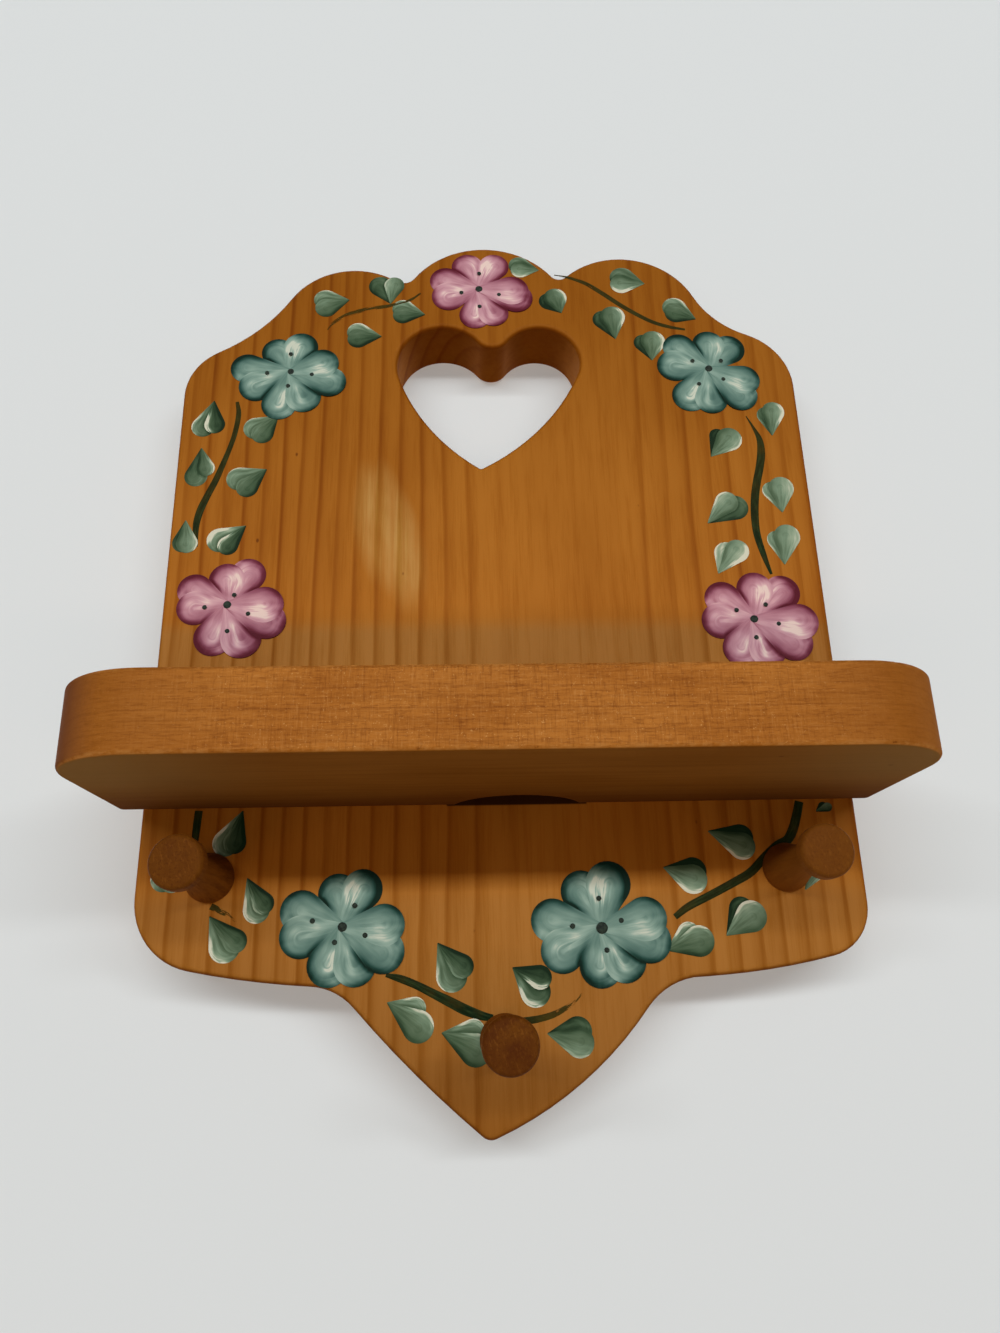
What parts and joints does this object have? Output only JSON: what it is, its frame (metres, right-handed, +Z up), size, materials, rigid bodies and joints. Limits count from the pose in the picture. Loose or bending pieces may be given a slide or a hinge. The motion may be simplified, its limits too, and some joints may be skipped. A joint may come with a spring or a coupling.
{
  "type": "wall shelf with pegs",
  "caption": "Small scroll-sawn wooden wall shelf: a back board with a heart cut-out and painted folk flowers, a shelf board across it and turned pegs below.",
  "frame": {"origin": "on the back of the back board, halfway across it, level with the top of the shelf", "axes": "+X to the right seen from the front, +Y out of the back towards the wall, so the front faces -Y, and +Z up"},
  "size_m": [0.1932, 0.0767, 0.2573],
  "materials": {
    "board_wood": "honey-brown stained pine under satin lacquer, straight upright grain",
    "shelf_wood": "honey-brown stained pine under satin lacquer, grain along the shelf",
    "peg_wood": "stained birch, turned, darker end grain",
    "screw_steel": "zinc-plated, satin",
    "hanger_steel": "stamped plated strip, satin",
    "nail_steel": "bright wire, satin",
    "teal_paint": "acrylic paint, blended strokes from dark rim to pale",
    "pink_paint": "acrylic paint, blended strokes from plum rim to pale",
    "leaf_paint": "acrylic paint, one dark half and one pale half",
    "vine_paint": "dark green acrylic paint line",
    "dot_paint": "near-black acrylic paint dot"
  },
  "bodies": {
    "root": {"back_board": "board_wood", "shelf_board": "shelf_wood", "left_peg": "peg_wood", "right_peg": "peg_wood", "center_peg": "peg_wood", "left_screw": "screw_steel", "right_screw": "screw_steel", "sawtooth_hanger": "hanger_steel", "left_nail": "nail_steel", "right_nail": "nail_steel"}
  },
  "joints": []
}
